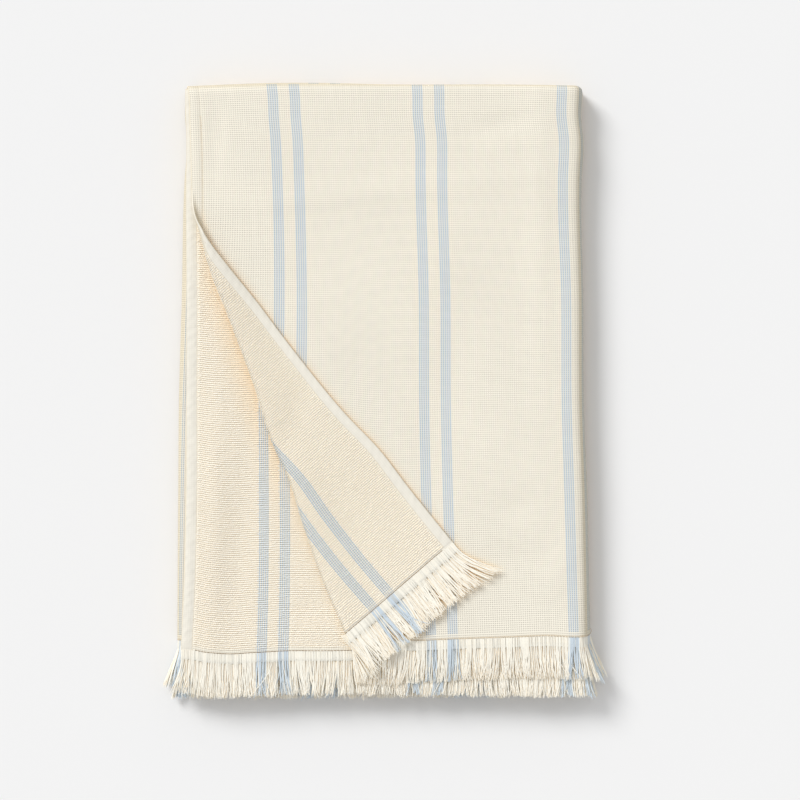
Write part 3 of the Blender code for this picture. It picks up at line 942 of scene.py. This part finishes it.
def corner_loops(tree, finish):
    """Loops on the reverse of the turned-back corner."""
    u, v = loop_grid(END_BAND + 0.7 * MM, CREASE_UP)
    shown = from_crease(u, v)[1] > 0
    values = arch_values(finish, LOOP_HALF_LONG, LOOP_HIGH, CORNER_LOOP_RADIUS, 3)
    where = (u[shown], v[shown], LOOP_OUT)
    return arches("corner_loops", *where, tree, values, 21, **LOOP_PLAY)


def second_loops(tree, finish):
    """Loops on the layer under the turned-back corner, as far as it shows."""
    u, v = loop_grid(SECOND_LEG + 40 * MM, LENGTH - END_BAND - 0.7 * MM)
    points = laid(u, v, 0.0)
    hem = HEM_AT + look_up(EDGES, points[:, 1], 1)
    right = RIGHT_TURN_AT + look_up(EDGES, points[:, 1], 4)
    over_u = (points[:, 0] - hem) / (right - hem) * TOP_PANEL
    along, beyond = from_crease(over_u, points[:, 1])
    shown = beyond > -UNDER_FOLD
    # painted warm shade on the loops beside the crease
    warm = ease(1 - beyond / PEACH_WIDE)
    warm = warm * ease((along - PEACH_FROM) / (PEACH_FULL - PEACH_FROM))
    warm = warm * (1 - ease((along - PEACH_FADES) / (PEACH_ENDS - PEACH_FADES)))
    values = arch_values(finish, LOOP_HALF_LONG, LOOP_HIGH, LOOP_RADIUS, 3)
    where = (u[shown], v[shown], LOOP_OUT)
    return arches("second_loops", *where, tree, values, 22, warm=warm[shown], **LOOP_PLAY)


def make_stitches(tree, dark, tan, pale):
    """The rows of stitches along both ends and along the side hem, on both sides."""
    u = np.arange(2 * MM, WIDTH - 2 * MM, STITCH_PITCH)
    inner = u[u > HEM_WIDE + 2 * MM]
    top_v = np.arange(10 * MM, LEG - 20 * MM, STITCH_PITCH)
    second_v = np.arange(SECOND_LEG + 60 * MM, LENGTH - 4 * MM, STITCH_PITCH)
    first, second = END_BAND, LENGTH - END_BAND
    rows = (
        # name, u, v, out in mm, finish, angle, seed
        ("end_stitches_reverse_1", inner, first, -0.52, dark, 0, 31),
        ("end_stitches_reverse_2", inner, second, -0.52, dark, 0, 32),
        ("end_stitches_face_1", u, first, 0.45, tan, 0, 33),
        ("hem_stitches_reverse_1", HEM_WIDE, top_v, -0.50, pale, 90, 34),
        ("hem_stitches_reverse_2", HEM_WIDE, second_v, -0.50, pale, 90, 35),
        ("hem_stitches_face_1", HEM_WIDE, top_v, 0.38, pale, 90, 36),
    )
    made = []
    for name, at_u, at_v, out, finish, angle, seed in rows:
        at_u, at_v = np.broadcast_arrays(at_u, at_v)
        turned = math.radians(angle)
        values = arch_values(finish, STITCH_HALF_LONG, STITCH_HIGH, STITCH_RADIUS, 5)
        where = (at_u, at_v, out * MM)
        made.append(arches(name, *where, tree, values, seed, 0.05 * MM, turned, 0.05))
    return made


# ---- Materials ----


def start_material(name, rough, sheen):
    made = bpy.data.materials.new(name)
    made.use_nodes = True
    shader = made.node_tree.nodes["Principled BSDF"]
    values = {"Roughness": rough, "Specular IOR Level": 0.15, "Sheen Weight": sheen}
    for label, value in {**values, "Sheen Roughness": 0.6}.items():
        shader.inputs[label].default_value = value
    return made, made.node_tree, shader


def calc(tree, operation, *values, kind="ShaderNodeMath"):
    node = tree.nodes.new(kind)
    node.operation = operation
    for socket, value in zip(node.inputs, values):
        put(tree, socket, value)
    return node.outputs[0]


def times(tree, a, b):
    return calc(tree, "MULTIPLY", a, b)


def weighed(tree, total, *parts):
    """A start plus each part times its weight."""
    for part, weight in parts:
        total = calc(tree, "ADD", total, times(tree, part, weight))
    return total


def blend(tree, share, a, b):
    """A colour between a and b."""
    a, b = ((*value, 1.0) if isinstance(value, tuple) else value for value in (a, b))
    return add(tree, "ShaderNodeMix", "Result", data_type="RGBA", Factor=share, A=a, B=b)


def dim(tree, colour, amount):
    """A colour times a grey amount."""
    values = {"operation": "SCALE", "Vector": colour, "Scale": amount}
    return add(tree, "ShaderNodeVectorMath", "Vector", **values)


def tinted(tree, colour, share, tint):
    """A colour times as much of a tint as its share says."""
    tint = blend(tree, share, (1.0, 1.0, 1.0), tint)
    return calc(tree, "MULTIPLY", colour, tint, kind="ShaderNodeVectorMath")


def finished(made, shader, colour, height, depth):
    """The material, with its colour, and raised by a height times a depth."""
    tree = made.node_tree
    normal = add(tree, "ShaderNodeBump", "Normal", Strength=1.0, Distance=depth, Height=height)
    tree.links.new(normal, shader.inputs["Normal"])
    tree.links.new(colour, shader.inputs["Base Color"])
    return made


def sheet_places(tree):
    """u and v of the cloth, in metres."""
    flat = add(tree, "ShaderNodeUVMap", "UV", uv_map="weave")
    u = add(tree, "ShaderNodeSeparateXYZ", "X", Vector=flat)
    return u, u.node.outputs["Y"]


def speckle(tree, u, v, across, along, detail=2.0):
    """Noise on the sheet, with its grain's size across and along it in millimetres."""
    x = calc(tree, "DIVIDE", u, across * MM)
    y = calc(tree, "DIVIDE", v, along * MM)
    at = add(tree, "ShaderNodeCombineXYZ", "Vector", X=x, Y=y)
    noise = add(tree, "ShaderNodeTexNoise", "Fac", Scale=1.0, Detail=detail, Vector=at)
    return calc(tree, "SUBTRACT", noise, 0.5)


def wave(tree, place_along, repeat, start=0.0):
    """1 on each repeat's line and -1 between the lines."""
    turns = calc(tree, "DIVIDE", calc(tree, "SUBTRACT", place_along, start), repeat)
    return calc(tree, "COSINE", times(tree, turns, math.tau))


def stripe_share(tree, u):
    """1 on the stripes, soft over a fraction of a yarn at their sides."""
    shares = []
    half = STRIPE_LINES / 2 * WARP_REPEAT
    for centre in STRIPES:
        folded = calc(tree, "PINGPONG", calc(tree, "SUBTRACT", u, centre), PAIR_REPEAT / 2)
        inside = calc(tree, "DIVIDE", calc(tree, "SUBTRACT", half, folded), 0.3 * WARP_REPEAT)
        shares.append(calc(tree, "MINIMUM", calc(tree, "MAXIMUM", inside, 0.0), 1.0))
    return calc(tree, "MAXIMUM", *shares)


def ridge(tree, place_along, centre, half_wide):
    """1 on a ridge's line, falling to 0 at its sides."""
    off = calc(tree, "DIVIDE", calc(tree, "SUBTRACT", place_along, centre), half_wide)
    return calc(tree, "MAXIMUM", calc(tree, "SUBTRACT", 1.0, times(tree, off, off)), 0.0)


def woven(name, ground, warp_dark, weft_dark, check_dark, depth, golden_shade_share, ribs=0.0):
    """A woven finish: its repeats darken the yarns' edges, a painted shade between the yarns, and
    raise the yarns. Past the end's stitches two thick weft yarns lie side by side."""
    made, tree, shader = start_material(name, 0.92, 0.06)
    u, v = sheet_places(tree)
    warp = wave(tree, u, WARP_REPEAT, FIRST_STRIPE)
    weft = wave(tree, v, WEFT_REPEAT)
    check = times(tree, warp, weft)
    slub = speckle(tree, u, v, 0.9, 34)
    pick = speckle(tree, u, v, 30, 0.9)
    patch = speckle(tree, u, v, 45, 60, 3.0)
    grain = speckle(tree, u, v, 0.5, 0.5, 1.0)
    weave = ((warp, -warp_dark), (weft, weft_dark), (check, check_dark))
    uneven = ((slub, 0.10), (pick, 0.10), (patch, 0.06), (grain, 0.10))
    # painted shade between the yarns, with tone that differs at random
    light = weighed(tree, 1.0, *weave, *uneven)
    lines = weighed(tree, 0.60, (warp, 0.32), (check, -0.16), (slub, 0.30))
    cords = [ridge(tree, v, END_BAND + past, CORD_HALF_WIDE) for past in CORDS_PAST]
    cord = calc(tree, "MAXIMUM", *cords)
    plain = calc(tree, "SUBTRACT", 1.0, cord)
    share = times(tree, stripe_share(tree, u), times(tree, lines, plain))
    light = weighed(tree, times(tree, light, plain), (cord, 1.03))
    colour = dim(tree, blend(tree, share, ground, BLUE), light)
    # painted shade: warmer where the cloth lies close, darker where it bends away from level
    colour = painted_bend_shade(tree, warmed(tree, colour, 8 * MM, golden_shade_share, GOLDEN_SHADE))
    raised = ((warp, -0.5), (weft, 0.6 + ribs), (check, 0.5), (grain, 0.8))
    height = times(tree, weighed(tree, 0.0, *raised), plain)
    return finished(made, shader, colour, weighed(tree, height, (cord, 1.6)), depth)


def pale_band(name):
    """The end band: warp yarns lying close together, with little weft over them."""
    made, tree, shader = start_material(name, 0.9, 0.12)
    u, v = sheet_places(tree)
    warp = wave(tree, u, 0.5 * WARP_REPEAT)
    slub = speckle(tree, u, v, 0.7, 9)
    patch = speckle(tree, u, v, 6, 20)
    # painted shade between the warp yarns, with tone that differs at random
    light = weighed(tree, 1.0, (warp, 0.03), (slub, 0.22), (patch, 0.08))
    stripe = times(tree, stripe_share(tree, u), 0.62)
    colour = dim(tree, blend(tree, stripe, BAND, BLUE), light)
    return finished(made, shader, colour, weighed(tree, warp, (slub, 2.0)), 0.12 * MM)


def hem_finish(name):
    """The turned hem: plain, pale, and softly puckered by its stitches."""
    made, tree, shader = start_material(name, 0.9, 0.12)
    u, v = sheet_places(tree)
    pucker = wave(tree, weighed(tree, v, (u, 0.8)), 7.6 * MM)
    uneven = speckle(tree, u, v, 5, 9)
    weft = wave(tree, v, WEFT_REPEAT)
    warp = wave(tree, u, WARP_REPEAT)
    # painted shade in the puckers and between the yarns, with tone that differs at random
    light = weighed(tree, 1.0, (pucker, 0.005), (uneven, 0.10), (weft, 0.018), (warp, 0.018))
    # painted shade where the hem bends away from level
    colour = painted_bend_shade(tree, dim(tree, PALE, light))
    height = weighed(tree, 0.0, (pucker, 0.2), (uneven, 3.0), (weft, 0.12))
    return finished(made, shader, colour, height, 0.22 * MM)


def warmed(tree, colour, reach, share, warmth):
    """Painted warm shade: a colour that turns warmer and darker where the cloth lies close against
    itself, as far as reach, standing in for the light that passes from yarn to yarn there."""
    near = tree.nodes.new("ShaderNodeAmbientOcclusion")
    near.samples = 6
    near.inputs["Distance"].default_value = reach
    closed = calc(tree, "SUBTRACT", 1.0, near.outputs["AO"])
    return tinted(tree, colour, times(tree, closed, share), warmth)


def painted_bend_shade(tree, colour):
    """Painted shade: a colour that deepens where the cloth bends away from level."""
    way = add(tree, "ShaderNodeNewGeometry", "Normal")
    level = calc(tree, "ABSOLUTE", add(tree, "ShaderNodeSeparateXYZ", "Z", Vector=way))
    steep = calc(tree, "DIVIDE", calc(tree, "SUBTRACT", 1.0, level), BENDS_OVER)
    return tinted(tree, colour, calc(tree, "MINIMUM", steep, 1.0), BEND_SHADE)


def yarn_finish(name, ground, dark, blue_share=0.0, tone_share=0.0, warm_share=0.0, lined=False):
    """Bare yarn, a little different from one to the next, blue where it comes from a stripe.
    lined is for loops, whose stripes keep the lines of the weave."""
    made, tree, shader = start_material(name, 0.88, 0.03)

    def attribute(label):
        return add(tree, "ShaderNodeAttribute", "Fac", attribute_name=label)

    tone = times(tree, attribute("tone"), tone_share)
    # painted warm shade by the crease, where a point carries it
    base = blend(tree, attribute("warm"), blend(tree, tone, ground, dark), CREASE_SHADE_TINT)
    blue = times(tree, attribute("blue"), blue_share)
    if lined:
        over = calc(tree, "ADD", attribute("across"), attribute("offset"))
        line = calc(tree, "MULTIPLY_ADD", wave(tree, over, WARP_REPEAT, FIRST_STRIPE), 0.45, 0.55)
        blue = times(tree, blue, line)
    spot = add(tree, "ShaderNodeTexCoord", "Object")
    grain = 1 / (0.5 * MM)
    noise = add(tree, "ShaderNodeTexNoise", "Fac", Scale=grain, Detail=1.0, Vector=spot)
    uneven = calc(tree, "MULTIPLY_ADD", noise, 0.10, 0.95)
    colour = dim(tree, blend(tree, blue, base, YARN_BLUE), uneven)
    # painted warm shade where the yarns lie close together
    colour = warmed(tree, colour, 3 * MM, warm_share, WARM_SHADE)
    return finished(made, shader, colour, noise, 0.03 * MM)


# ---- Floor, light and camera ----

FRAME_WIDE = 610 * MM  # on the towel's top
FRAME_CENTRE = (12.09 * MM, -6.50 * MM)
CAMERA_HIGH = 3.0
FILL = 0.60
KEY = 2.15
KEY_FROM = (-1.1, 1.15, 1.15)
KEY_SOFT = 24.0  # how wide the soft light is, in degrees
TOP_HIGH = 27 * MM
FLOOR_DOWN = 0.2 * MM


def make_floor():
    bpy.ops.mesh.primitive_plane_add(size=8.0, location=(0, 0, -FLOOR_DOWN))
    floor = bpy.context.active_object
    floor.name = "floor"
    made, _, shader = start_material("floor_white", 0.8, 0.0)
    shader.inputs["Base Color"].default_value = (*FLOOR_WHITE, 1.0)
    shader.inputs["Specular IOR Level"].default_value = 0.2
    floor.data.materials.append(made)


def make_light():
    world = bpy.data.worlds.new("studio")
    bpy.context.scene.world = world
    world.use_nodes = True
    back = world.node_tree.nodes["Background"]
    back.inputs["Color"].default_value = (1.0, 1.0, 1.0, 1.0)
    back.inputs["Strength"].default_value = FILL
    lamp = bpy.data.lights.new("key", "SUN")
    lamp.angle = math.radians(KEY_SOFT)
    lamp.energy = KEY
    key = add_object("key", lamp)
    key.rotation_mode = "QUATERNION"
    key.rotation_quaternion = Vector(KEY_FROM).to_track_quat("Z", "Y")


def make_camera():
    lens = bpy.data.cameras.new("camera")
    lens.sensor_width = 36.0
    lens.lens = lens.sensor_width * (CAMERA_HIGH - TOP_HIGH) / FRAME_WIDE
    camera = add_object("camera", lens)
    camera.location = (*FRAME_CENTRE, CAMERA_HIGH)
    bpy.context.scene.camera = camera


def main():
    bpy.context.scene.view_settings.view_transform = "Standard"
    make_floor()
    make_light()
    make_camera()

    face = woven("towel_face", CREAM, 0.05, 0.09, 0.07, 0.16 * MM, 0.85)
    reverse = woven("towel_reverse", GROUND, 0.02, 0.06, 0.04, 0.10 * MM, 0.45, 0.3)
    finishes = (face, pale_band("towel_band"), reverse, hem_finish("towel_hem"))
    shares = (0.9, 0.8, 0.15)
    corner_finish = yarn_finish("corner_loops", CORNER_LOOP, CORNER_LOOP_DEEP, *shares, True)
    loop_finish = yarn_finish("towel_loops", LOOP, LOOP_DEEP, *shares, True)
    fringe_finish = yarn_finish("fringe_yarn", YARN, YARN_DEEP, 0.9, 0.9, 0.7)
    dark = yarn_finish("stitch_brown", THREAD, THREAD)
    tan = yarn_finish("stitch_tan", FACE_THREAD, FACE_THREAD)
    pale = yarn_finish("stitch_pale", PALE_THREAD, PALE_THREAD)

    cloth = make_cloth(finishes)
    yarns = yarn_tree()
    small = arch_tree()
    first_values = (0.0, -1, 3, OUTER_SPLAYS, TIPS_LIFTED, 11)
    second_values = (LENGTH, 1, 4, INNER_SPLAYS, 0.0, 12)
    first = make_fringe("first_fringe", *first_values, yarns, fringe_finish)
    second = make_fringe("second_fringe", *second_values, yarns, fringe_finish)
    trims = [corner_loops(small, corner_finish), second_loops(small, loop_finish)]
    trims += make_stitches(small, dark, tan, pale)

    for piece in (cloth, first, second, *trims):
        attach(piece, "root")
    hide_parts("cloth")
    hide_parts("fringe_one")
    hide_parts("fringe_two")


main()
